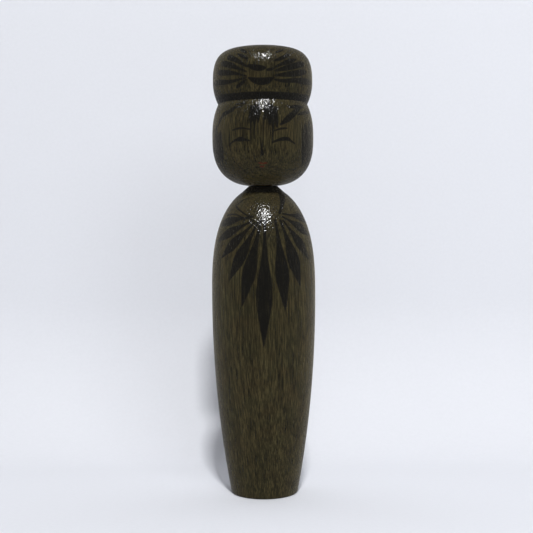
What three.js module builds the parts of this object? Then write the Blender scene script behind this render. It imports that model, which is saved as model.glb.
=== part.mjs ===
// Kokeshi doll: a turned wooden figure, about 240 mm tall, standing on the plane z = 0 with its axis on +Z
// and its face towards -Y. Millimetres.
//
// Five pieces are turned separately and go together on one axis:
//   body          a tapered barrel with a domed shoulder, a short neck and a blind socket in the neck
//   neck_peg      a hardwood peg glued into the head; its swelling turns in a groove at the socket's foot
//   head          a rounded-square head, bored from below for the neck peg and from above for the
//                 topknot peg
//   topknot_peg   a plain dowel between head and topknot
//   topknot       the flat-topped bun of hair

import * as THREE from "three";

// ---- Driving dimensions ----

// Body outline
const BASE_RADIUS = 18.1;
const BODY_RADIUS = 27.9; // at the widest place
const BODY_WIDEST_Z = 108.6;
const BODY_SIDE_POWER = 2.06; // how slowly the side leaves the widest place on its way down
const SHOULDER_RISE = 57.48; // height of the whole dome, of which the neck replaces the tip
const SHOULDER_POWERS = [2.67, 2.05]; // superellipse powers, along the height and along the radius
const BASE_EDGE = 1.1; // rounding of the bottom edge

// Foot
const FOOT_RING_WIDTH = 4.6;
const FOOT_DISH_DEPTH = 0.6;
const CENTRE_MARK_RADIUS = 1.5; // left by the lathe's centre
const CENTRE_MARK_DEPTH = 1.6;

// Neck: a short cone that carries the shoulder up to the head
const NECK_ROOT_RADIUS = 11.5;
const NECK_RADIUS = 8.2; // at the top
const NECK_LENGTH = 3.4;
const NECK_EDGE = 0.4;

// Head outline
const HEAD_RADIUS = 27.15;
const HEAD_JAW_DEPTH = 25.8; // from the widest place to the tip of the whole jaw curve
const HEAD_JAW_POWERS = [2.53, 2.81];
const HEAD_BROW_RISE = 18.0; // from the widest place to the groove
const HEAD_BROW_POWER = 2.6;
const HEAD_SEAT_OVERHANG = 0.6; // the head's flat seat is this much wider than the neck

// Groove between head and topknot
const GROOVE_RADIUS = 23.9;

// Topknot outline
const TOPKNOT_RADIUS = 26.7;
const TOPKNOT_LOWER_RISE = 11.7; // from the groove to the widest place
const TOPKNOT_LOWER_POWER = 2.1;
const TOPKNOT_CROWN_RISE = 17.65; // from the widest place to the top
const TOPKNOT_CROWN_POWERS = [2.61, 5.24];

// Neck peg and its socket
const NECK_PEG_RADIUS = 4.9;
const NECK_PEG_IN_HEAD = 17;
const NECK_PEG_IN_BODY = 21;
const SWELLING_OVERSIZE = 0.8; // the swelling stands this much proud of the peg
const SWELLING_LENGTH = 4.4;
const SWELLING_ABOVE_TIP = 2.4;

// Topknot peg
const TOPKNOT_PEG_RADIUS = 4;
const TOPKNOT_PEG_IN_HEAD = 11;
const TOPKNOT_PEG_IN_TOPKNOT = 10;

// Fits
const SEAT_GAP = 0.3; // between two faces that meet
const GLUE_GAP = 0.3; // around a glued peg
const TURNING_GAP = 0.4; // around the peg that turns
const PEG_END_GAP = 1; // below and above a peg's ends
const PEG_CHAMFER = 0.7;
const DRILL_POINT = 1.2; // depth of the cone that the drill leaves

// Fineness
const ROUND_SEGMENTS = 48;
const PEG_SEGMENTS = 24;
const SIDE_STEPS = 14;
const DOME_STEPS = 14;
const EDGE_STEPS = 3;

// ---- Materials ----

// Dark bog wood, brushed with black and rubbed with wax.
const BOG_WOOD = new THREE.MeshStandardMaterial({ color: 0x3b3627, roughness: 0.45, metalness: 0 });
// Pale hardwood as it comes off the lathe.
const PEG_WOOD = new THREE.MeshStandardMaterial({ color: 0xb99a6b, roughness: 0.7, metalness: 0 });

// ---- Outlines: lists of [radius, height] ----

// Height on a superellipse of the given rise and powers where its radius is r.
function riseAt(r, radius, rise, [heightPower, radiusPower]) {
  return rise * (1 - (r / radius) ** radiusPower) ** (1 / heightPower);
}

// A quarter superellipse from the widest place, at height z, to where the radius has shrunk to endRadius.
// A negative rise goes down.
function dome(radius, z, rise, powers, endRadius) {
  const [heightPower, radiusPower] = powers;
  const endTurn = Math.acos((endRadius / radius) ** (radiusPower / 2));
  const points = [];
  for (let i = 0; i <= DOME_STEPS; i++) {
    const turn = (endTurn * i) / DOME_STEPS;
    const r = radius * Math.cos(turn) ** (2 / radiusPower);
    points.push([r, z + rise * Math.sin(turn) ** (2 / heightPower)]);
  }
  return points;
}

// A side that runs on a power curve from radius wide, at height wideZ, to radius narrow, at narrowZ.
function taper(wide, wideZ, narrow, narrowZ, power) {
  const points = [];
  for (let i = 0; i <= SIDE_STEPS; i++) {
    const t = i / SIDE_STEPS;
    points.push([wide - (wide - narrow) * t ** power, wideZ + (narrowZ - wideZ) * t]);
  }
  return points;
}

// A quarter round from a flat face below to an upright wall: from [r - size, z] to [r, z + size].
function roundedEdge(r, z, size) {
  const points = [];
  for (let i = 0; i <= EDGE_STEPS; i++) {
    const turn = ((Math.PI / 2) * i) / EDGE_STEPS;
    points.push([r - size + size * Math.sin(turn), z + size - size * Math.cos(turn)]);
  }
  return points;
}

// ---- Heights that follow from the dimensions ----

const neckRootZ = BODY_WIDEST_Z + riseAt(NECK_ROOT_RADIUS, BODY_RADIUS, SHOULDER_RISE, SHOULDER_POWERS);
const neckTopZ = neckRootZ + NECK_LENGTH;
const headSeatZ = neckTopZ + SEAT_GAP;
const headSeatRadius = NECK_RADIUS + HEAD_SEAT_OVERHANG;
const headWidestZ = headSeatZ + riseAt(headSeatRadius, HEAD_RADIUS, HEAD_JAW_DEPTH, HEAD_JAW_POWERS);
const headTopZ = headWidestZ + HEAD_BROW_RISE;
const topknotFootZ = headTopZ + SEAT_GAP;
const topknotWidestZ = topknotFootZ + TOPKNOT_LOWER_RISE;
const topknotTopZ = topknotWidestZ + TOPKNOT_CROWN_RISE;

const neckPegTopZ = headSeatZ + NECK_PEG_IN_HEAD;
const neckPegFootZ = neckTopZ - NECK_PEG_IN_BODY;
const swellingFootZ = neckPegFootZ + SWELLING_ABOVE_TIP;
const swellingTopZ = swellingFootZ + SWELLING_LENGTH;
const swellingRadius = NECK_PEG_RADIUS + SWELLING_OVERSIZE;
const topknotPegFootZ = headTopZ - TOPKNOT_PEG_IN_HEAD;
const topknotPegTopZ = topknotFootZ + TOPKNOT_PEG_IN_TOPKNOT;

// ---- Turning ----

// Revolves an outline, which runs from the axis round the piece's outside and back to the axis, about +Z.
function turned(name, material, outline, segments = ROUND_SEGMENTS) {
  const points = outline.map(([r, z]) => new THREE.Vector2(r, z));
  const geometry = new THREE.LatheGeometry(points, segments).rotateX(Math.PI / 2);
  const mesh = new THREE.Mesh(geometry, material);
  mesh.name = name;
  return mesh;
}

// ---- The pieces ----

function makeBody() {
  const footInner = BASE_RADIUS - BASE_EDGE - FOOT_RING_WIDTH;
  const socketRadius = NECK_PEG_RADIUS + TURNING_GAP;
  const grooveRadius = swellingRadius + TURNING_GAP;
  const socketFloorZ = neckPegFootZ - PEG_END_GAP;
  const foot = [
    [0, FOOT_DISH_DEPTH + CENTRE_MARK_DEPTH],
    [CENTRE_MARK_RADIUS, FOOT_DISH_DEPTH],
    [footInner - FOOT_DISH_DEPTH, FOOT_DISH_DEPTH],
    [footInner, 0],
    ...roundedEdge(BASE_RADIUS, 0, BASE_EDGE),
  ];
  const side = taper(BODY_RADIUS, BODY_WIDEST_Z, BASE_RADIUS, BASE_EDGE, BODY_SIDE_POWER);
  const shoulder = dome(BODY_RADIUS, BODY_WIDEST_Z, SHOULDER_RISE, SHOULDER_POWERS, NECK_ROOT_RADIUS);
  const neck = [
    [NECK_RADIUS, neckTopZ - NECK_EDGE],
    [NECK_RADIUS - NECK_EDGE, neckTopZ],
  ];
  const socket = [
    [socketRadius + PEG_CHAMFER, neckTopZ],
    [socketRadius, neckTopZ - PEG_CHAMFER],
    [socketRadius, swellingTopZ + TURNING_GAP + SWELLING_OVERSIZE],
    [grooveRadius, swellingTopZ + TURNING_GAP],
    [grooveRadius, swellingFootZ - TURNING_GAP],
    [socketRadius, swellingFootZ - TURNING_GAP - SWELLING_OVERSIZE],
    [socketRadius, socketFloorZ],
    [0, socketFloorZ - DRILL_POINT],
  ];
  const outside = [...side.slice(0, -1).reverse(), ...shoulder.slice(1), ...neck];
  return turned("body", BOG_WOOD, [...foot, ...outside, ...socket]);
}

function makeNeckPeg() {
  return turned(
    "neck_peg",
    PEG_WOOD,
    [
      [0, neckPegFootZ],
      [NECK_PEG_RADIUS - PEG_CHAMFER, neckPegFootZ],
      [NECK_PEG_RADIUS, neckPegFootZ + PEG_CHAMFER],
      [NECK_PEG_RADIUS, swellingFootZ - SWELLING_OVERSIZE],
      [swellingRadius, swellingFootZ],
      [swellingRadius, swellingTopZ],
      [NECK_PEG_RADIUS, swellingTopZ + SWELLING_OVERSIZE],
      [NECK_PEG_RADIUS, neckPegTopZ - PEG_CHAMFER],
      [NECK_PEG_RADIUS - PEG_CHAMFER, neckPegTopZ],
      [0, neckPegTopZ],
    ],
    PEG_SEGMENTS,
  );
}

function makeHead() {
  const neckBore = NECK_PEG_RADIUS + GLUE_GAP;
  const topknotBore = TOPKNOT_PEG_RADIUS + GLUE_GAP;
  const neckBoreTopZ = neckPegTopZ + PEG_END_GAP;
  const topknotBoreFloorZ = topknotPegFootZ - PEG_END_GAP;
  const jaw = dome(HEAD_RADIUS, headWidestZ, -HEAD_JAW_DEPTH, HEAD_JAW_POWERS, headSeatRadius);
  const brow = taper(HEAD_RADIUS, headWidestZ, GROOVE_RADIUS, headTopZ, HEAD_BROW_POWER);
  return turned("head", BOG_WOOD, [
    [0, neckBoreTopZ + DRILL_POINT],
    [neckBore, neckBoreTopZ],
    [neckBore, headSeatZ],
    ...jaw.reverse(),
    ...brow.slice(1),
    [topknotBore, headTopZ],
    [topknotBore, topknotBoreFloorZ],
    [0, topknotBoreFloorZ - DRILL_POINT],
  ]);
}

function makeTopknotPeg() {
  return turned(
    "topknot_peg",
    PEG_WOOD,
    [
      [0, topknotPegFootZ],
      [TOPKNOT_PEG_RADIUS - PEG_CHAMFER, topknotPegFootZ],
      [TOPKNOT_PEG_RADIUS, topknotPegFootZ + PEG_CHAMFER],
      [TOPKNOT_PEG_RADIUS, topknotPegTopZ - PEG_CHAMFER],
      [TOPKNOT_PEG_RADIUS - PEG_CHAMFER, topknotPegTopZ],
      [0, topknotPegTopZ],
    ],
    PEG_SEGMENTS,
  );
}

function makeTopknot() {
  const bore = TOPKNOT_PEG_RADIUS + GLUE_GAP;
  const boreTopZ = topknotPegTopZ + PEG_END_GAP;
  const lower = taper(TOPKNOT_RADIUS, topknotWidestZ, GROOVE_RADIUS, topknotFootZ, TOPKNOT_LOWER_POWER);
  const crown = dome(TOPKNOT_RADIUS, topknotWidestZ, TOPKNOT_CROWN_RISE, TOPKNOT_CROWN_POWERS, 0);
  return turned("topknot", BOG_WOOD, [
    [0, boreTopZ + DRILL_POINT],
    [bore, boreTopZ],
    [bore, topknotFootZ],
    ...lower.reverse(),
    ...crown.slice(1, -1),
    [0, topknotTopZ],
  ]);
}

// ---- Assembly ----

const doll = new THREE.Group();
doll.name = "kokeshi_doll";
const turningHead = new THREE.Group();
turningHead.name = "turning_head";
turningHead.add(makeHead(), makeNeckPeg(), makeTopknot(), makeTopknotPeg());
doll.add(makeBody(), turningHead);

export default doll;
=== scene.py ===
"""Kokeshi doll: a turned wooden figure about 240 mm tall, painted with a brush and rubbed with wax.

The pieces come in the order in which the doll is put together: body, neck peg, head, topknot peg, topknot.
Sizes in each section are millimetres, and angles are degrees round from the front, with the doll's left,
which is the viewer's right, positive.
"""
import math

import bpy
import numpy as np
from mathutils import Matrix, Vector


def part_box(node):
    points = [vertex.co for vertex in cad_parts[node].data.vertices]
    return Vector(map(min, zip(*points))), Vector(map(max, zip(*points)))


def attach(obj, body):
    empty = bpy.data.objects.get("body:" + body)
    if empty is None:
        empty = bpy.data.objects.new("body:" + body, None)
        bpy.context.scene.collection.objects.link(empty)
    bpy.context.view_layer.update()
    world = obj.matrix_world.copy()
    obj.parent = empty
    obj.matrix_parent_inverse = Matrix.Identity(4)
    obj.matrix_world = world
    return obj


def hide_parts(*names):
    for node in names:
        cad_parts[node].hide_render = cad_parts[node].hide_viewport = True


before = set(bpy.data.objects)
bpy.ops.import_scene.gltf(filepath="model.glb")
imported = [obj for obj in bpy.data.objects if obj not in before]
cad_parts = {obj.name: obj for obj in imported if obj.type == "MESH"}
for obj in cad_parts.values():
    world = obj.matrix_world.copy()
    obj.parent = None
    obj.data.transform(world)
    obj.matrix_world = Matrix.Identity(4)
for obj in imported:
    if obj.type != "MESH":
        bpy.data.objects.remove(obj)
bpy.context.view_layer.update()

# ---- Body -----------------------------------------------------------------------------------------------
# One blank of dark bog wood, turned between centres: a slim barrel on a small foot, with a domed shoulder
# and a short conical neck, bored for the head's peg. A chrysanthemum is brushed over the shoulder in black
# ink, a black ring is laid round the neck while the lathe runs, and wax is rubbed over all.

MM = 0.001


def colour(hexadecimal):
    """An sRGB colour such as 0x3b3627 as linear RGBA."""
    parts = [(hexadecimal >> shift & 255) / 255 for shift in (16, 8, 0)]
    return [part / 12.92 if part <= 0.04045 else ((part + 0.055) / 1.055) ** 2.4 for part in parts] + [1]


def add(tree, kind, sockets=None, **settings):
    """Adds a node. sockets maps an input's name or number to a value, or to the output that feeds it."""
    node = tree.nodes.new(kind)
    for name, value in settings.items():
        setattr(node, name, value)
    for key, value in (sockets or {}).items():
        if isinstance(value, bpy.types.NodeSocket):
            tree.links.new(value, node.inputs[key])
        else:
            node.inputs[key].default_value = value
    return node


def bog_wood(name, pith, pore_width, lean):
    """Bog wood, an oak-like hardwood that centuries under wet ground have turned dark olive brown.

    Turned, brushed with black ink and rubbed with wax. To the eye: fine upright fibres, dark dashes where
    the pores are cut open, faint growth rings, and a soft gloss that the pores break up. pith is where the
    tree's middle lay, in millimetres from the doll's axis, and lean is the grain's slope in degrees.
    """
    material = bpy.data.materials.new(name)
    material.use_nodes = True
    tree = material.node_tree
    tree.nodes.clear()
    place = add(tree, "ShaderNodeTexCoord").outputs["Object"]
    # Millimetres from the pith, turned so that the grain leans a little.
    wood = add(tree, "ShaderNodeMapping", {
        "Vector": place, "Location": (-pith[0], -pith[1], 0), "Rotation": (0, math.radians(lean), 0),
        "Scale": (1000, 1000, 1000)}).outputs[0]
    # Slow wander of the grain, felt by everything that follows it.
    slow = add(tree, "ShaderNodeVectorMath", {0: wood, 1: (1, 1, 0.35)}, operation="MULTIPLY").outputs[0]
    wander = add(tree, "ShaderNodeTexNoise", {"Vector": slow, "Scale": 0.03, "Detail": 1.0}).outputs["Color"]
    wander = add(tree, "ShaderNodeVectorMath", {
        0: wander, 1: (0.5, 0.5, 0.5)}, operation="SUBTRACT").outputs[0]
    wood = add(tree, "ShaderNodeVectorMath", {
        0: wander, 1: (4, 4, 0), 2: wood}, operation="MULTIPLY_ADD").outputs[0]

    # Growth rings 2.6 mm apart. Each begins with open pores and ends dense.
    flat = add(tree, "ShaderNodeVectorMath", {0: wood, 1: (1, 1, 0)}, operation="MULTIPLY").outputs[0]
    radius = add(tree, "ShaderNodeVectorMath", {0: flat}, operation="LENGTH").outputs["Value"]
    ring = add(tree, "ShaderNodeMath", {0: radius, 1: 2.6}, operation="DIVIDE").outputs[0]
    ring = add(tree, "ShaderNodeMath", {0: ring}, operation="FRACT").outputs[0]
    early = add(tree, "ShaderNodeFloatCurve", {"Value": ring})
    curve = early.mapping.curves[0]
    curve.points[0].location = (0, 1)
    curve.points[1].location = (1, 0.9)
    curve.points.new(0.35, 0.45)
    curve.points.new(0.8, 0.1)
    curve.points.new(0.93, 0.15)
    early = early.outputs[0]

    # Fibres: streaks about 0.5 mm across and 9 mm long.
    along = add(tree, "ShaderNodeVectorMath", {0: wood, 1: (1, 1, 0.06)}, operation="MULTIPLY").outputs[0]
    fibre = add(tree, "ShaderNodeTexNoise", {
        "Vector": along, "Scale": 1.9, "Detail": 3.0, "Roughness": 0.65}).outputs["Fac"]
    # Broad streaks of darker and lighter wood, 5 mm across and 60 mm long.
    streak = add(tree, "ShaderNodeTexNoise", {"Vector": along, "Scale": 0.2, "Detail": 2.0}).outputs["Fac"]
    # Rows of open pores, cut lengthwise to dashes 4 to 12 mm long. They are 0.3 mm across in the real wood,
    # and are drawn up to 0.6 mm wide, to show at a doll's length.
    dash = add(tree, "ShaderNodeTexVoronoi", {"Vector": along, "Scale": 1.2, "Randomness": 1.0})
    width = add(tree, "ShaderNodeMath", {
        0: early, 1: 0.14, 2: pore_width}, operation="MULTIPLY_ADD").outputs[0]
    dash = add(tree, "ShaderNodeMath", {0: dash.outputs["Distance"], 1: width}, operation="DIVIDE").outputs[0]
    # Here and there a vessel is laid open for 15 to 40 mm.
    lines = add(tree, "ShaderNodeVectorMath", {0: wood, 1: (1, 1, 0.03)}, operation="MULTIPLY").outputs[0]
    line = add(tree, "ShaderNodeTexVoronoi", {"Vector": lines, "Scale": 0.5, "Randomness": 1.0})
    line = add(tree, "ShaderNodeMath", {0: line.outputs["Distance"], 1: 0.19}, operation="DIVIDE")
    pore = add(tree, "ShaderNodeMath", {0: dash, 1: line.outputs[0]}, operation="MINIMUM").outputs[0]
    pore = add(tree, "ShaderNodeMapRange", {
        "Value": pore, "From Min": 1.2, "From Max": 0.65, "To Min": 0.0, "To Max": 1.0},
        interpolation_type="SMOOTHSTEP").outputs[0]
    # Fine ripple where the tool lifted the fibres, 1.2 mm across, which breaks the gloss into sparks.
    grit = add(tree, "ShaderNodeTexNoise", {"Vector": wood, "Scale": 0.85, "Detail": 1.0}).outputs["Fac"]

    # Bare wood, from its dark streaks to its light ones.
    tone = add(tree, "ShaderNodeMath", {0: fibre, 1: 1.5, 2: -0.7}, operation="MULTIPLY_ADD").outputs[0]
    tone = add(tree, "ShaderNodeMath", {0: streak, 1: 0.35, 2: tone}, operation="MULTIPLY_ADD").outputs[0]
    tone = add(tree, "ShaderNodeMath", {0: early, 1: -0.12, 2: tone}, operation="MULTIPLY_ADD").outputs[0]
    tone = add(tree, "ShaderNodeMapRange", {
        "Value": tone, "From Min": 0.0, "From Max": 0.45, "To Min": 0.0, "To Max": 1.0}).outputs[0]
    bare = add(tree, "ShaderNodeValToRGB", {"Fac": tone})
    bare.color_ramp.elements[0].color = colour(0x2b281e)
    bare.color_ramp.elements[1].color = colour(0x514a34)
    middle = bare.color_ramp.elements.new(0.5)
    middle.color = colour(0x3c3727)
    # The tone drifts between olive and a warmer brown.
    drift = add(tree, "ShaderNodeTexNoise", {"Vector": wood, "Scale": 0.12, "Detail": 2.0}).outputs["Fac"]
    warm = add(tree, "ShaderNodeMix", {
        0: drift, 6: colour(0xf6fff2), 7: colour(0xfff0e2)}, data_type="RGBA").outputs[2]
    bare = add(tree, "ShaderNodeMix", {
        0: 1.0, 6: bare.outputs[0], 7: warm}, data_type="RGBA", blend_type="MULTIPLY").outputs[2]

    # Ink. The attribute says how many millimetres inside a stroke's edge a point lies. The edge creeps along
    # the fibres, and the ink sinks less into the hard ridges between pores.
    ink = add(tree, "ShaderNodeAttribute", attribute_name="ink").outputs["Fac"]
    creep = add(tree, "ShaderNodeMath", {0: fibre, 1: 1.4, 2: -0.7}, operation="MULTIPLY_ADD").outputs[0]
    edge = add(tree, "ShaderNodeMath", {0: ink, 1: creep}, operation="ADD").outputs[0]
    cover = add(tree, "ShaderNodeMapRange", {
        "Value": edge, "From Min": -0.2, "From Max": 0.2, "To Min": 0.0, "To Max": 1.0},
        interpolation_type="SMOOTHSTEP").outputs[0]
    thin = add(tree, "ShaderNodeMapRange", {
        "Value": fibre, "From Min": 0.52, "From Max": 0.75, "To Min": 1.0, "To Max": 0.7}).outputs[0]
    cover = add(tree, "ShaderNodeMath", {0: cover, 1: thin}, operation="MULTIPLY").outputs[0]
    # Pores near a stroke have drawn ink in.
    near = add(tree, "ShaderNodeMapRange", {
        "Value": ink, "From Min": -7.0, "From Max": -0.5, "To Min": 0.85, "To Max": 0.95}).outputs[0]
    filled = add(tree, "ShaderNodeMath", {0: pore, 1: near}, operation="MULTIPLY").outputs[0]
    dark = add(tree, "ShaderNodeMix", {
        0: filled, 6: bare, 7: colour(0x17150d)}, data_type="RGBA").outputs[2]
    inked = add(tree, "ShaderNodeMix", {0: cover, 6: dark, 7: colour(0x1a1916)}, data_type="RGBA").outputs[2]
    rouge = add(tree, "ShaderNodeAttribute", attribute_name="rouge").outputs["Fac"]
    rouge = add(tree, "ShaderNodeMath", {0: rouge, 1: fibre}, operation="MULTIPLY").outputs[0]
    rouge = add(tree, "ShaderNodeMapRange", {
        "Value": rouge, "From Min": 0.0, "From Max": 0.15, "To Min": 0.0, "To Max": 0.62}).outputs[0]
    painted = add(tree, "ShaderNodeMix", {
        0: rouge, 6: inked, 7: colour(0x5c1d14)}, data_type="RGBA").outputs[2]

    # Gloss: wax over the ridges, dull in the pores.
    gloss = add(tree, "ShaderNodeMath", {0: fibre, 1: 0.12, 2: 0.08}, operation="MULTIPLY_ADD").outputs[0]
    gloss = add(tree, "ShaderNodeMath", {0: pore, 1: 0.14, 2: gloss}, operation="MULTIPLY_ADD").outputs[0]
    # Relief: pores 0.08 mm deep, fibres and ripple a few hundredths high.
    relief = add(tree, "ShaderNodeMath", {0: pore, 1: -0.08}, operation="MULTIPLY").outputs[0]
    relief = add(tree, "ShaderNodeMath", {0: fibre, 1: 0.05, 2: relief}, operation="MULTIPLY_ADD").outputs[0]
    relief = add(tree, "ShaderNodeMath", {0: grit, 1: 0.24, 2: relief}, operation="MULTIPLY_ADD").outputs[0]
    bump = add(tree, "ShaderNodeBump", {"Height": relief, "Strength": 1.0, "Distance": MM}).outputs[0]
    shader = add(tree, "ShaderNodeBsdfPrincipled", {
        "Base Color": painted, "Roughness": gloss, "Normal": bump, "IOR": 1.45, "Specular IOR Level": 0.4,
        "Diffuse Roughness": 1.0, "Sheen Weight": 0.12, "Sheen Roughness": 0.35,
        "Sheen Tint": colour(0xfff0c8)})
    add(tree, "ShaderNodeOutputMaterial", {"Surface": shader.outputs[0]})
    return material


def lathe():
    """The tree that turns an outline: row by row its points, column by column the cuts round the axis."""
    tree = bpy.data.node_groups.new("Turned on the lathe", "GeometryNodeTree")
    for name, kind in (("Outline", "Geometry"), ("Cuts round", "Int"), ("Crowding at the front", "Float"),
                       ("Wood", "Material")):
        tree.interface.new_socket(name, in_out="INPUT", socket_type="NodeSocket" + kind)
    tree.interface.new_socket("Piece", in_out="OUTPUT", socket_type="NodeSocketGeometry")
    given = add(tree, "NodeGroupInput").outputs
    size = add(tree, "GeometryNodeAttributeDomainSize", {"Geometry": given["Outline"]}, component="MESH")
    rows = size.outputs["Point Count"]
    columns = add(tree, "FunctionNodeIntegerMath", {0: given["Cuts round"], 1: 1}, operation="ADD").outputs[0]
    grid = add(tree, "GeometryNodeMeshGrid", {"Vertices X": columns, "Vertices Y": rows})
    index = add(tree, "GeometryNodeInputIndex").outputs[0]
    row = add(tree, "FunctionNodeIntegerMath", {0: index, 1: rows}, operation="MODULO").outputs[0]
    column = add(tree, "FunctionNodeIntegerMath", {0: index, 1: rows}, operation="DIVIDE_FLOOR").outputs[0]
    point = add(tree, "GeometryNodeSampleIndex", {
        "Geometry": given["Outline"], "Index": row,
        "Value": add(tree, "GeometryNodeInputPosition").outputs[0]}, data_type="FLOAT_VECTOR").outputs[0]
    # The turn from the back, round past the front and back again, with the cuts closest at the front.
    share = add(tree, "ShaderNodeMath", {0: column, 1: given["Cuts round"]}, operation="DIVIDE").outputs[0]
    even = add(tree, "ShaderNodeMath", {
        0: share, 1: math.tau, 2: -math.pi}, operation="MULTIPLY_ADD").outputs[0]
    swing = add(tree, "ShaderNodeMath", {0: even}, operation="SINE").outputs[0]
    swing = add(tree, "ShaderNodeMath", {0: swing, 1: given["Crowding at the front"]}, operation="MULTIPLY")
    turn = add(tree, "ShaderNodeMath", {0: even, 1: swing.outputs[0]}, operation="SUBTRACT").outputs[0]
    place = add(tree, "ShaderNodeVectorRotate", {
        "Vector": point, "Angle": turn}, rotation_type="Z_AXIS").outputs[0]
    piece = add(tree, "GeometryNodeSetPosition", {"Geometry": grid.outputs["Mesh"], "Position": place})
    piece = add(tree, "GeometryNodeStoreNamedAttribute", {
        "Geometry": piece.outputs[0], "Name": "OFBake", "Value": grid.outputs["UV Map"]},
        data_type="FLOAT2", domain="CORNER")
    piece = add(tree, "GeometryNodeMergeByDistance", {"Geometry": piece.outputs[0], "Distance": 1e-6})
    piece = add(tree, "GeometryNodeRealizeInstances", {"Geometry": piece.outputs[0]})
    piece = add(tree, "GeometryNodeSetMaterial", {"Geometry": piece.outputs[0], "Material": given["Wood"]})
    add(tree, "NodeGroupOutput", {"Piece": piece.outputs[0]})
    return tree


LATHE = lathe()


def turned(name, outline, material, cuts, crowding=0.0):
    """A piece turned to an outline, a list of (radius, height) in millimetres that runs from the axis round
    the piece's outside and back to the axis."""
    mesh = bpy.data.meshes.new(name)
    # The outline stands straight in front of the axis.
    mesh.from_pydata([(0, -r * MM, z * MM) for r, z in outline], [], [])
    piece = bpy.data.objects.new(name, mesh)
    bpy.context.scene.collection.objects.link(piece)
    modifier = piece.modifiers.new("Lathe", "NODES")
    modifier.node_group = LATHE
    given = {"Cuts round": cuts, "Crowding at the front": crowding, "Wood": material}
    for socket in LATHE.interface.items_tree:
        if socket.name in given:
            modifier[socket.identifier] = given[socket.name]
    finished = bpy.data.meshes.new_from_object(piece.evaluated_get(bpy.context.evaluated_depsgraph_get()))
    piece.modifiers.clear()
    piece.data = finished
    bpy.data.meshes.remove(mesh)
    finished.name = name
    finished.shade_smooth()
    # Edges that bend by more than this stay crisp.
    finished.set_sharp_from_angle(angle=math.radians(35))
    return piece


def evenly(points, step):
    """The same line with its points about step millimetres apart."""
    points = np.array(points)
    length = np.concatenate([[0], np.cumsum(np.hypot(*np.diff(points, axis=0).T))])
    wanted = np.linspace(0, length[-1], max(2, round(length[-1] / step) + 1))
    return [(np.interp(s, length, points[:, 0]), np.interp(s, length, points[:, 1])) for s in wanted]


def dome(radius, z, rise, powers, end_radius, step):
    """A quarter superellipse from the widest place, at height z, to end_radius. A negative rise goes down."""
    height_power, radius_power = powers
    end = math.acos((end_radius / radius) ** (radius_power / 2))
    turns = np.linspace(0, 1, 3000) ** 2 * end
    line = [(radius * math.cos(t) ** (2 / radius_power), z + rise * math.sin(t) ** (2 / height_power))
            for t in turns]
    return evenly(line, step)


def taper(wide, wide_z, narrow, narrow_z, power, step):
    """A side on a power curve from radius wide, at wide_z, to radius narrow, at narrow_z."""
    return evenly([(wide - (wide - narrow) * t ** power, wide_z + (narrow_z - wide_z) * t)
                   for t in np.linspace(0, 1, 400)], step)


def bend(centre_r, centre_z, size, start, end, steps=4):
    """A small rounded edge about (centre_r, centre_z), from one angle to another, 0 outwards and 90 up."""
    return [(centre_r + size * math.cos(math.radians(a)), centre_z + size * math.sin(math.radians(a)))
            for a in np.linspace(start, end, steps + 1)]


def brush(piece, skin, attribute, strokes):
    """Lays strokes on a piece, whose outside follows skin. A stroke is a list of (degrees, height, half its
    width there).

    Each vertex gets how many millimetres it lies inside the nearest stroke's edge, or minus how far outside.
    """
    heights = np.array(sorted((z, r) for r, z in skin))
    count = len(piece.data.vertices)
    vertices = np.empty(count * 3, np.float32)
    piece.data.vertices.foreach_get("co", vertices)
    vertices = vertices.reshape(-1, 3) / MM
    inside = np.full(count, -50.0, np.float32)
    for stroke in strokes:
        stroke = np.array(stroke, float)
        turn, height, half = np.radians(stroke[:, 0]), stroke[:, 1], stroke[:, 2]
        radius = np.interp(height, heights[:, 0], heights[:, 1])
        path = np.stack([radius * np.sin(turn), -radius * np.cos(turn), height], 1)
        for i in range(len(path) - 1):
            run = path[i + 1] - path[i]
            along = np.clip((vertices - path[i]) @ run / max(run @ run, 1e-9), 0, 1)
            away = np.linalg.norm(vertices - path[i] - along[:, None] * run, axis=1)
            inside = np.maximum(inside, half[i] + (half[i + 1] - half[i]) * along - away)
    attribute = piece.data.attributes.get(attribute) or piece.data.attributes.new(attribute, "FLOAT", "POINT")
    attribute.data.foreach_set("value", inside.astype(np.float32))


def smooth(stroke, steps=6):
    """The same stroke with rounded bends: a curve through all its places."""
    stroke = np.array(stroke, float)
    padded = np.concatenate([2 * stroke[:1] - stroke[1:2], stroke, 2 * stroke[-1:] - stroke[-2:-1]])
    line = []
    for a, b, c, d in zip(padded, padded[1:], padded[2:], padded[3:]):
        for t in np.arange(steps) / steps:
            line.append(0.5 * (2 * b + (c - a) * t + (2 * a - 5 * b + 4 * c - d) * t ** 2
                               + (3 * b - a - 3 * c + d) * t ** 3))
    line.append(stroke[-1])
    return line


BODY_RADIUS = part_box("body")[1].x / MM
FOOT_RADIUS, BODY_WIDEST_Z, SIDE_POWER = 18.1, 108.6, 2.06
SHOULDER_RISE, SHOULDER_POWERS = 57.48, (2.67, 2.05)
NECK_ROOT_RADIUS, NECK_RADIUS = 11.5, 8.2
NECK_EDGE = 0.4
FOOT_EDGE = 1.1
# The foot is hollowed to a shallow dish, with the lathe centre's mark in its middle.
DISH_RADIUS, DISH_DEPTH, RING_RADIUS = 12.4, 0.6, 14.7
CENTRE_MARK_RADIUS, CENTRE_MARK_TOP = 1.5, 2.2
SOCKET_RADIUS, SOCKET_DEPTH, SOCKET_CHAMFER = 5.3, 22.0, 0.7
# The undercut that the peg's swelling turns in, measured down from the neck's top.
UNDERCUT_RADIUS, UNDERCUT_LOW, UNDERCUT_HIGH, UNDERCUT_SLOPE = 6.1, 19.0, 13.8, 0.8
# A drill leaves a shallow cone at the end of its hole.
DRILL_POINT = 1.2

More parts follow.
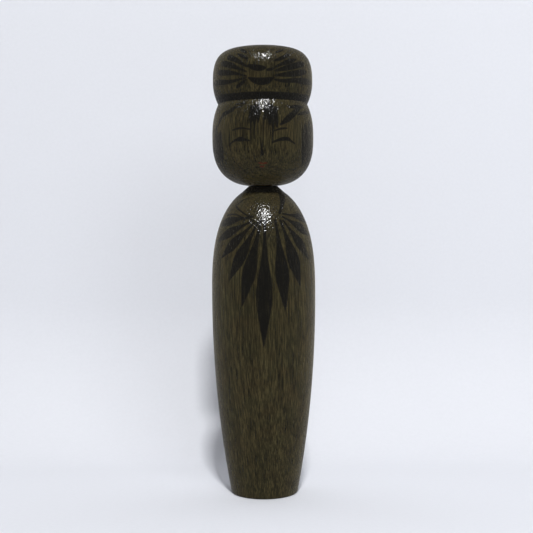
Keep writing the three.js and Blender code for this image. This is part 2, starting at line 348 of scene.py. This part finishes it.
neck_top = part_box("body")[1].z / MM
foot_outline = [
    (0, CENTRE_MARK_TOP), (CENTRE_MARK_RADIUS, DISH_DEPTH), (DISH_RADIUS - DISH_DEPTH, DISH_DEPTH),
    (DISH_RADIUS, 0), (RING_RADIUS, 0)]
foot_outline += bend(FOOT_RADIUS - FOOT_EDGE, FOOT_EDGE, FOOT_EDGE, -90, 0)
side_outline = taper(BODY_RADIUS, BODY_WIDEST_Z, FOOT_RADIUS, FOOT_EDGE, SIDE_POWER, 0.8)[::-1]
shoulder_outline = dome(BODY_RADIUS, BODY_WIDEST_Z, SHOULDER_RISE, SHOULDER_POWERS, NECK_ROOT_RADIUS, 0.4)
shoulder_outline += evenly([shoulder_outline[-1], (NECK_RADIUS, neck_top - NECK_EDGE)], 0.4)[1:]
socket_outline = [
    (NECK_RADIUS - NECK_EDGE, neck_top), (SOCKET_RADIUS + SOCKET_CHAMFER, neck_top),
    (SOCKET_RADIUS, neck_top - SOCKET_CHAMFER), (SOCKET_RADIUS, neck_top - UNDERCUT_HIGH),
    (UNDERCUT_RADIUS, neck_top - UNDERCUT_HIGH - UNDERCUT_SLOPE),
    (UNDERCUT_RADIUS, neck_top - UNDERCUT_LOW + UNDERCUT_SLOPE),
    (SOCKET_RADIUS, neck_top - UNDERCUT_LOW), (SOCKET_RADIUS, neck_top - SOCKET_DEPTH),
    (0, neck_top - SOCKET_DEPTH - DRILL_POINT)]
body_outline = foot_outline + side_outline[1:] + shoulder_outline[1:] + socket_outline
body_wood = bog_wood("waxed_bog_wood_of_the_body", pith=(-38, 30), pore_width=0.15, lean=1.5)
body = turned("turned_body", body_outline, body_wood, cuts=264, crowding=0.45)

# The flower's petals, each from its thin stem to its pointed tip: (degrees, height) of both ends, and half
# its greatest width.
PETALS = (
    ((2, 147), (0, 81.5), 4.4),
    ((16, 147), (24, 100), 4.0), ((23, 147), (44, 112), 4.0),
    ((27, 147), (62, 126), 3.2), ((27, 149), (74, 139), 2.9), ((29, 150.5), (96, 147), 2.8),
    ((-3, 147), (-24, 102), 3.8), ((-7, 146), (-40, 115.5), 3.4),
    ((-11, 146), (-55, 127), 3.0), ((-13, 147), (-70, 136), 2.8), ((-14, 149), (-82, 145), 2.8),
)
# A petal's half width along it, as a share of the greatest.
PETAL_SWELL = ((0, 0.17), (0.16, 0.2), (0.27, 0.34), (0.37, 0.56), (0.46, 0.8), (0.56, 0.96), (0.66, 0.93),
               (0.76, 0.68), (0.86, 0.42), (0.95, 0.16), (1.0, 0.0))
flower = []
for (stem_turn, stem_z), (tip_turn, tip_z), half in PETALS:
    flower.append([(stem_turn + (tip_turn - stem_turn) * t, stem_z + (tip_z - stem_z) * t, half * swell)
                   for t, swell in PETAL_SWELL])
# Loose strokes above the flower, up to the neck.
flower += [smooth(stroke) for stroke in (
    [(24, 151, 0.7), (32, 155, 1.0), (40, 158.5, 1.7), (50, 162.5, 1.9)],
    [(-50, 155, 0.45), (-43, 157.4, 0.35), (-34, 158.7, 0.25), (-18, 159.4, 0.1)],
    [(-48, 154.4, 0.5), (-33, 151.7, 0.4), (-24, 150, 0.4), (-14, 149, 0.4)],
    [(-62, 150, 0.6), (-44, 150.4, 0.4), (-28, 148.6, 0.4), (-15, 147.6, 0.3)],
)]
brush(body, side_outline + shoulder_outline, "ink", flower)


def band(piece, low, high, attribute="ink"):
    """A band laid round a piece between two heights while the lathe runs."""
    count = len(piece.data.vertices)
    vertices = np.empty(count * 3, np.float32)
    piece.data.vertices.foreach_get("co", vertices)
    z = vertices.reshape(-1, 3)[:, 2] / MM
    inside = np.empty(count, np.float32)
    data = piece.data.attributes[attribute].data
    data.foreach_get("value", inside)
    data.foreach_set("value", np.maximum(inside, np.minimum(z - low, high - z)).astype(np.float32))


# The ring round the neck runs on over the neck's top.
RING_FOOT, PAST_THE_EDGE = 161.9, 5
band(body, RING_FOOT, neck_top + PAST_THE_EDGE)
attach(body, "torso")
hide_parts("body")

# ---- Neck peg -------------------------------------------------------------------------------------------
# A pale hardwood peg, glued into the head. Its swelling runs in the undercut at the foot of the body's
# socket, so the head turns but doesn't lift out.


def peg_wood():
    """Plain hardwood as it leaves the lathe: pale, dull, with fine fibres and the rings of the tool."""
    material = bpy.data.materials.new("turned_pale_hardwood")
    material.use_nodes = True
    tree = material.node_tree
    tree.nodes.clear()
    place = add(tree, "ShaderNodeTexCoord").outputs["Object"]
    grain = add(tree, "ShaderNodeMapping", {"Vector": place, "Scale": (1000, 1000, 60)}).outputs[0]
    fibre = add(tree, "ShaderNodeTexNoise", {"Vector": grain, "Scale": 1.2, "Detail": 4.0}).outputs["Fac"]
    tint = add(tree, "ShaderNodeValToRGB", {"Fac": fibre})
    tint.color_ramp.elements[0].position = 0.3
    tint.color_ramp.elements[0].color = colour(0x9b7a4d)
    tint.color_ramp.elements[1].position = 0.7
    tint.color_ramp.elements[1].color = colour(0xc7aa7c)
    # Tool marks 0.5 mm apart.
    upright = add(tree, "ShaderNodeSeparateXYZ", {0: place}).outputs["Z"]
    marks = add(tree, "ShaderNodeMath", {
        0: upright, 1: math.tau / (0.5 * MM)}, operation="MULTIPLY").outputs[0]
    marks = add(tree, "ShaderNodeMath", {0: marks}, operation="SINE").outputs[0]
    relief = add(tree, "ShaderNodeMath", {0: marks, 1: 0.02, 2: fibre}, operation="MULTIPLY_ADD").outputs[0]
    bump = add(tree, "ShaderNodeBump", {"Height": relief, "Distance": 0.1 * MM}).outputs[0]
    dull = add(tree, "ShaderNodeMath", {0: fibre, 1: 0.2, 2: 0.55}, operation="MULTIPLY_ADD").outputs[0]
    shader = add(tree, "ShaderNodeBsdfPrincipled", {
        "Base Color": tint.outputs[0], "Roughness": dull, "Normal": bump, "IOR": 1.5})
    add(tree, "ShaderNodeOutputMaterial", {"Surface": shader.outputs[0]})
    return material


PEG_WOOD = peg_wood()
PEG_RADIUS, PEG_CHAMFER = 4.9, 0.7
SWELLING_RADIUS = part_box("neck_peg")[1].x / MM
SWELLING_FOOT, SWELLING_LENGTH = 2.4, 4.4
# The swelling's rounded shoulders, and how far their centres lie inside its ends.
SHOULDER, SHOULDER_INSET = 0.8, 0.6
peg_low, peg_high = (corner.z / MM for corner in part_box("neck_peg"))
swelling_low = peg_low + SWELLING_FOOT
swelling_high = swelling_low + SWELLING_LENGTH
neck_peg = turned("turned_neck_peg", [
    (0, peg_low), (PEG_RADIUS - PEG_CHAMFER, peg_low), (PEG_RADIUS, peg_low + PEG_CHAMFER),
    (PEG_RADIUS, swelling_low - SHOULDER),
    *bend(SWELLING_RADIUS - SHOULDER, swelling_low + SHOULDER_INSET, SHOULDER, -60, 0),
    *bend(SWELLING_RADIUS - SHOULDER, swelling_high - SHOULDER_INSET, SHOULDER, 0, 60),
    (PEG_RADIUS, swelling_high + SHOULDER),
    (PEG_RADIUS, peg_high - PEG_CHAMFER), (PEG_RADIUS - PEG_CHAMFER, peg_high), (0, peg_high),
], PEG_WOOD, cuts=64)
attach(neck_peg, "turning_head")
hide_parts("neck_peg")

# ---- Head -----------------------------------------------------------------------------------------------
# A rounded-square block of the same wood, bored from below for the neck peg and from above for the
# topknot's. Fringe, side locks, brows, eyes and nose are brushed in black, and the mouth in dull red.

HEAD_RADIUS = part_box("head")[1].x / MM
JAW_DEPTH, JAW_POWERS = 25.8, (2.53, 2.81)
BROW_RISE, BROW_POWER = 18.0, 2.6
SEAT_RADIUS, GROOVE_RADIUS = 8.8, 23.9
# Bores for the two pegs, and the room left past a peg's end.
NECK_BORE, TOPKNOT_BORE, TOPKNOT_BORE_DEPTH, PEG_ROOM = 5.2, 4.3, 12.0, 1.0

head_low, head_top = (corner.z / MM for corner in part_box("head"))
head_widest = head_top - BROW_RISE
head_skin = dome(HEAD_RADIUS, head_widest, -JAW_DEPTH, JAW_POWERS, SEAT_RADIUS, 0.25)[::-1]
head_skin += taper(HEAD_RADIUS, head_widest, GROOVE_RADIUS, head_top, BROW_POWER, 0.25)[1:]
head_outline = [
    (0, peg_high + PEG_ROOM + DRILL_POINT), (NECK_BORE, peg_high + PEG_ROOM), (NECK_BORE, head_low),
    *head_skin, (TOPKNOT_BORE, head_top), (TOPKNOT_BORE, head_top - TOPKNOT_BORE_DEPTH),
    (0, head_top - TOPKNOT_BORE_DEPTH - DRILL_POINT)]
head_wood = bog_wood("waxed_bog_wood_of_the_head", pith=(-25, 42), pore_width=0.26, lean=-0.5)
head = turned("turned_head", head_outline, head_wood, cuts=300, crowding=0.55)

hair = [
    # Fringe, in two tufts with strands running down the grain.
    [(-13, 206, 0.5), (-13, 204, 1.1), (-13, 199, 1.0), (-13, 196, 0.45), (-12.9, 186.5, 0.25)],
    [(-9, 207, 0.5), (-9, 204, 1.2), (-9, 199, 1.0), (-8.9, 195.5, 0.4), (-8.9, 189, 0.2)],
    [(-5, 206.5, 0.5), (-5, 204, 1.2), (-5, 200, 0.9), (-5, 197, 0.2)],
    [(-2.5, 204, 0.8), (-3.5, 201, 0.5), (-4, 198, 0.1)],
    [(3, 206, 0.4), (3, 204, 0.9), (3.2, 200, 0.8), (1, 197, 0.3), (0.4, 184.5, 0.2)],
    [(7, 207, 0.5), (7, 204, 1.2), (7.5, 198.5, 1.0), (8, 195.5, 0.2)],
    [(11, 206.5, 0.5), (11, 204, 1.2), (11, 197.5, 1.0), (11, 194, 0.35), (11, 187, 0.2)],
    [(15, 205.5, 0.4), (15, 203.5, 1.0), (15.2, 197, 0.9), (15.8, 194.5, 0.2)],
    # The thick lock swept over the doll's left temple, and the thin strokes beside it.
    [(49, 205.2, 0.6), (42.5, 203.8, 1.3), (35, 201.3, 1.6), (27.5, 198.8, 1.5), (20, 196.2, 0.5)],
    [(33, 205.3, 0.4), (40, 206, 1.0), (50, 206.3, 1.0), (57, 206.2, 0.4)],
    [(44, 201.8, 0.4), (54, 203.2, 0.9), (66, 203.9, 0.7), (79, 204.3, 0.4)],
    # Fainter strokes over the other temple.
    [(-33, 205.6, 0.6), (-37, 204.8, 1.1), (-42, 203.6, 1.1), (-50, 202.6, 1.3), (-56, 200, 0.9),
     (-60, 197, 0.5)],
    [(-20, 207.3, 0.3), (-27, 207.4, 0.6), (-33, 207, 0.5)],
    [(-24, 206, 0.3), (-29, 205.7, 0.5), (-34, 205.3, 0.3)],
    # Side locks, in strands.
    [(-55, 194, 0.4), (-56, 189, 2.3), (-56, 183, 2.5), (-58, 177, 0.4)],
    [(-64, 197, 0.5), (-65, 192, 2.6), (-65, 183, 2.7), (-68, 175.5, 0.5)],
    [(-75, 198, 0.6), (-77, 193, 2.4), (-77, 183, 2.5), (-79, 175, 0.5)],
    [(-85, 199, 0.6), (-87, 193, 2.4), (-87, 183, 2.4), (-89, 175, 0.5)],
    [(-95, 199, 0.6), (-97, 193, 2.3), (-97, 184, 2.3), (-99, 177, 0.4)],
    [(56, 198, 0.4), (55, 193, 2.4), (55, 183, 2.6), (58, 176, 0.4)],
    [(66, 200, 0.6), (66, 194, 2.5), (66, 183, 2.6), (68, 175, 0.5)],
    [(76, 200, 0.6), (76, 194, 2.5), (76, 183, 2.5), (78, 174, 0.5)],
    [(86, 200, 0.6), (86, 194, 2.4), (86, 184, 2.4), (88, 175, 0.5)],
    [(96, 199, 0.5), (96, 194, 2.2), (97, 185, 2.2), (98, 178, 0.4)],
]
face = [
    # Brows.
    [(-35, 193.7, 0.35), (-29, 194.3, 0.5), (-23, 194.5, 0.5), (-14, 193.7, 0.3)],
    [(13, 193, 0.3), (20, 194, 0.5), (27, 194.4, 0.4)],
    # Closed eyes.
    [(-40, 186.2, 0.35), (-34, 188, 0.5), (-29.5, 188.6, 0.8), (-25, 188.9, 1.25), (-20.5, 188.6, 0.75),
     (-14, 187.9, 0.3)],
    [(10.5, 186.9, 0.35), (16, 188, 0.6), (22, 188.8, 0.95), (28.5, 188.9, 0.95), (33, 187.9, 0.5),
     (38, 186.7, 0.35)],
    # Nose.
    [(-2.9, 189.5, 0.2), (-1.8, 186, 0.3), (-1.2, 183.8, 0.5), (-0.6, 181.8, 0.9), (-0.3, 180.8, 0.6)],
]
brush(head, head_skin, "ink", [smooth(stroke) for stroke in hair + face])
lips = [
    [(-6, 176.6, 0.2), (-3, 176.6, 0.6), (0, 176.3, 0.5), (3, 176.6, 0.6), (6, 176.6, 0.2)],
    [(-4.5, 175.1, 0.2), (-1, 174.8, 0.65), (2.5, 175.1, 0.2)],
]
brush(head, head_skin, "rouge", [smooth(stroke) for stroke in lips])
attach(head, "turning_head")
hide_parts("head")

# ---- Topknot peg ----------------------------------------------------------------------------------------
# A plain dowel of the same pale hardwood, glued into the head and into the topknot.

DOWEL_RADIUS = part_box("topknot_peg")[1].x / MM
dowel_low, dowel_high = (corner.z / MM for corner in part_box("topknot_peg"))
topknot_peg = turned("turned_topknot_peg", [
    (0, dowel_low), (DOWEL_RADIUS - PEG_CHAMFER, dowel_low), (DOWEL_RADIUS, dowel_low + PEG_CHAMFER),
    (DOWEL_RADIUS, dowel_high - PEG_CHAMFER), (DOWEL_RADIUS - PEG_CHAMFER, dowel_high), (0, dowel_high),
], PEG_WOOD, cuts=64)
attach(topknot_peg, "turning_head")
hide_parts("topknot_peg")

# ---- Topknot --------------------------------------------------------------------------------------------
# A flat-topped bun of hair from the head's own blank, so the grain runs on. It is glued down on the head,
# with no gap to see. A black band lies above the groove, and a bow with two fans is brushed on the front.

TOPKNOT_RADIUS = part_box("topknot")[1].x / MM
TOPKNOT_LOWER_RISE, TOPKNOT_LOWER_POWER = 11.7, 2.1
CROWN_POWERS = (2.61, 5.24)

topknot_low, topknot_top = (corner.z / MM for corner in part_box("topknot"))
topknot_widest = topknot_low + TOPKNOT_LOWER_RISE
topknot_skin = taper(TOPKNOT_RADIUS, topknot_widest, GROOVE_RADIUS, head_top, TOPKNOT_LOWER_POWER, 0.3)[::-1]
topknot_skin += dome(TOPKNOT_RADIUS, topknot_widest, topknot_top - topknot_widest, CROWN_POWERS, 0, 0.3)[1:]
topknot_outline = [
    (0, dowel_high + PEG_ROOM + DRILL_POINT), (TOPKNOT_BORE, dowel_high + PEG_ROOM),
    (TOPKNOT_BORE, head_top), *topknot_skin]
topknot = turned("turned_topknot", topknot_outline, head_wood, cuts=280, crowding=0.5)

bow = [
    # The fan on the doll's right, from the knot outwards.
    [(-17, 225.8, 0.4), (-25, 228, 0.9), (-33, 230, 1.3), (-42, 231.6, 1.4), (-46, 232, 0.4)],
    [(-18, 223.2, 0.3), (-29, 225.5, 0.9), (-38, 227.2, 1.5), (-50, 228.8, 1.6), (-56, 229.4, 0.5)],
    [(-18, 221, 0.3), (-32, 222.8, 0.9), (-43, 223.6, 1.4), (-56, 224.4, 1.5), (-63, 224.6, 0.4)],
    [(-18, 220.2, 0.3), (-29, 219.3, 0.6), (-40, 218.8, 1.0), (-57, 219.3, 1.5), (-80, 220.2, 1.2)],
    [(-18, 219.2, 0.3), (-23, 217.8, 0.9), (-29, 216.1, 0.8), (-31, 215.3, 0.2)],
    [(-20, 233.4, 0.7), (-25, 234.8, 0.9), (-31, 236.3, 0.4)],
    [(-18, 230.2, 0.7), (-24, 231.6, 0.9), (-31, 233, 0.4)],
    # The fan on the doll's left.
    [(14, 228.8, 0.5), (22, 230.1, 1.0), (31, 232.2, 0.9), (34, 233, 0.2)],
    [(14, 225.4, 0.4), (25, 227.7, 1.0), (34, 229.2, 1.3), (42, 230.4, 0.5)],
    [(14, 223.6, 0.4), (24, 224.8, 1.2), (36, 226.4, 1.6), (50, 228.2, 1.6), (57, 229, 0.5)],
    [(14, 221.2, 0.4), (26, 221.9, 1.2), (38, 222.8, 1.6), (52, 224.2, 1.5), (60, 224.8, 0.4)],
    [(14, 219.1, 0.5), (23, 218.6, 0.9), (38, 219.3, 1.2), (54, 219.6, 1.7), (72, 219.8, 1.2),
     (80, 220, 0.4)],
    [(27, 219, 0.4), (31, 218, 0.5), (31.5, 216.6, 0.4), (28, 215.9, 0.2)],
    [(17, 233.4, 0.5), (23, 234.3, 0.7), (28, 235.1, 0.3)],
    # The knot between them: a bowl, filled in, with a bar above it.
    [(-15, 220, 0.5), (-10, 218.9, 1.3), (-2, 218, 1.8), (6, 218.5, 1.5), (12.5, 220, 0.5)],
    [(-10, 219.5, 0.6), (0, 219.1, 0.9), (8, 219.6, 0.6)],
    [(-15, 226.2, 0.9), (-10, 225.4, 1.5), (-3, 224.9, 1.6), (3, 225, 0.7)],
    [(5, 223.9, 0.5), (9, 224.2, 0.8), (13, 224.9, 0.4)],
]
brush(topknot, topknot_skin, "ink", [smooth(stroke) for stroke in bow])
BAND_TOP = 213.1
band(topknot, head_top - PAST_THE_EDGE, BAND_TOP)
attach(topknot, "turning_head")
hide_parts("topknot")

# ---- Paper sweep ----------------------------------------------------------------------------------------
# A roll of matt white paper that runs under the doll and curves up into a wall 150 mm behind it, so that no
# edge shows and the doll's shadow falls on it. It is the stage, not part of the doll.

PAPER_FLAT, PAPER_CURVE, PAPER_HEIGHT, PAPER_HALF_WIDTH = 55.0, 95.0, 1400.0, 1200.0
# How far the floor runs to the front, and to the back past the wall for views from there.
PAPER_FRONT, APRON = 900.0, 1500.0


def paper():
    """Matt white background paper: slightly cool, with a faint tooth 2 mm across.

    From behind it lets the view and the light through, so that the doll can be looked at from all round.
    """
    material = bpy.data.materials.new("matt_white_paper")
    material.use_nodes = True
    tree = material.node_tree
    tree.nodes.clear()
    place = add(tree, "ShaderNodeTexCoord").outputs["Object"]
    tooth = add(tree, "ShaderNodeTexNoise", {"Vector": place, "Scale": 500.0, "Detail": 2.0}).outputs["Fac"]
    tint = add(tree, "ShaderNodeMix", {
        0: tooth, 6: colour(0xe3e4e7), 7: colour(0xe8e9ec)}, data_type="RGBA").outputs[2]
    front = add(tree, "ShaderNodeBsdfPrincipled", {
        "Base Color": tint, "Roughness": 0.9, "Specular IOR Level": 0.1}).outputs[0]
    behind = add(tree, "ShaderNodeNewGeometry").outputs["Backfacing"]
    clear = add(tree, "ShaderNodeBsdfTransparent").outputs[0]
    sheet = add(tree, "ShaderNodeMixShader", {0: behind, 1: front, 2: clear})
    add(tree, "ShaderNodeOutputMaterial", {"Surface": sheet.outputs[0]})
    return material


def sheet(name, corners, faces, material):
    """A stretch of the paper."""
    mesh = bpy.data.meshes.new(name)
    mesh.from_pydata([(x * MM, y * MM, z * MM) for x, y, z in corners], [], faces)
    mesh.materials.append(material)
    mesh.shade_smooth()
    piece = bpy.data.objects.new(name, mesh)
    bpy.context.scene.collection.objects.link(piece)
    return piece


white_paper = paper()
floor = sheet("paper_floor", [
    (-PAPER_HALF_WIDTH, -PAPER_FRONT, 0), (PAPER_HALF_WIDTH, -PAPER_FRONT, 0),
    (PAPER_HALF_WIDTH, APRON, 0), (-PAPER_HALF_WIDTH, APRON, 0)], [(0, 1, 2, 3)], white_paper)
profile = bend(PAPER_FLAT, PAPER_CURVE, PAPER_CURVE, -90, 0, 24) + [(PAPER_FLAT + PAPER_CURVE, PAPER_HEIGHT)]
rows = len(profile)
wall = sheet("paper_wall", [(x, y, z) for x in (-PAPER_HALF_WIDTH, PAPER_HALF_WIDTH) for y, z in profile],
             [(r, rows + r, rows + r + 1, r + 1) for r in range(rows - 1)], white_paper)
# Both are left out of reflections, so that no pale veil lies over the wax. Their soft light still falls on
# it.
wall.visible_glossy = False
floor.visible_glossy = False

# ---- Light ----------------------------------------------------------------------------------------------
# A small softbox high in front gives the sparkle on shoulder, forehead and topknot, and the shadow on the
# paper. A wide one low in front fills in, and the room is dim. Places and sizes are in metres.


def softbox(name, place, aim, width, height, power, tint, mirrored=True):
    """A flat lamp that shines from one place towards another. One that isn't mirrored gives light but is left
    out of reflections."""
    lamp = bpy.data.lights.new(name, "AREA")
    lamp.shape = "RECTANGLE"
    lamp.size, lamp.size_y = width, height
    lamp.energy = power
    lamp.color = colour(tint)[:3]
    box = bpy.data.objects.new(name, lamp)
    place, aim = Vector(place), Vector(aim)
    box.matrix_world = Matrix.Translation(place) @ (aim - place).to_track_quat("-Z", "Y").to_matrix().to_4x4()
    box.visible_glossy = mirrored
    bpy.context.scene.collection.objects.link(box)


softbox("key_softbox", (0.09, -1.23, 1.73), (0, 0, 0.15), 0.16, 0.16, 29.0, 0xfbfcff)
softbox("fill_softbox", (0.32, -1.08, 0.7), (0, 0.1, 0.05), 0.9, 0.6, 5.3, 0xf8faff, mirrored=False)

world = bpy.data.worlds.new("Dim room, pale beyond the paper")
bpy.context.scene.world = world
world.use_nodes = True
tree = world.node_tree
tree.nodes.clear()
direction = add(tree, "ShaderNodeTexCoord").outputs["Generated"]
backward = add(tree, "ShaderNodeSeparateXYZ", {0: direction}).outputs["Y"]
glow = add(tree, "ShaderNodeMapRange", {
    "Value": backward, "From Min": -0.9, "From Max": 0.5, "To Min": 0.04, "To Max": 0.22}).outputs[0]
seen = add(tree, "ShaderNodeLightPath").outputs["Is Camera Ray"]
glow = add(tree, "ShaderNodeMix", {0: seen, 2: glow, 3: 0.9}).outputs[0]
room = add(tree, "ShaderNodeBackground", {"Color": colour(0xf1f2f8), "Strength": glow})
add(tree, "ShaderNodeOutputWorld", {"Surface": room.outputs[0]})

# ---- Camera ---------------------------------------------------------------------------------------------
# At table height, a little over half a metre in front, looking slightly down, on a lens of 68 mm. Its place
# is in metres, and it leans by a fraction of a degree.

CAMERA_PLACE = (0.0016, -0.545, 0.1407)
CAMERA_PITCH, CAMERA_ROLL = 1.92, 0.3
LENS, SENSOR = 68.1, 36.0
camera_data = bpy.data.cameras.new("camera")
camera_data.lens = LENS
camera_data.sensor_width = SENSOR
camera = bpy.data.objects.new("camera", camera_data)
camera.matrix_world = (Matrix.Translation(CAMERA_PLACE)
                       @ Matrix.Rotation(math.radians(90 - CAMERA_PITCH), 4, "X")
                       @ Matrix.Rotation(math.radians(-CAMERA_ROLL), 4, "Z"))
bpy.context.scene.collection.objects.link(camera)
bpy.context.scene.camera = camera
bpy.context.scene.view_settings.view_transform = "Standard"
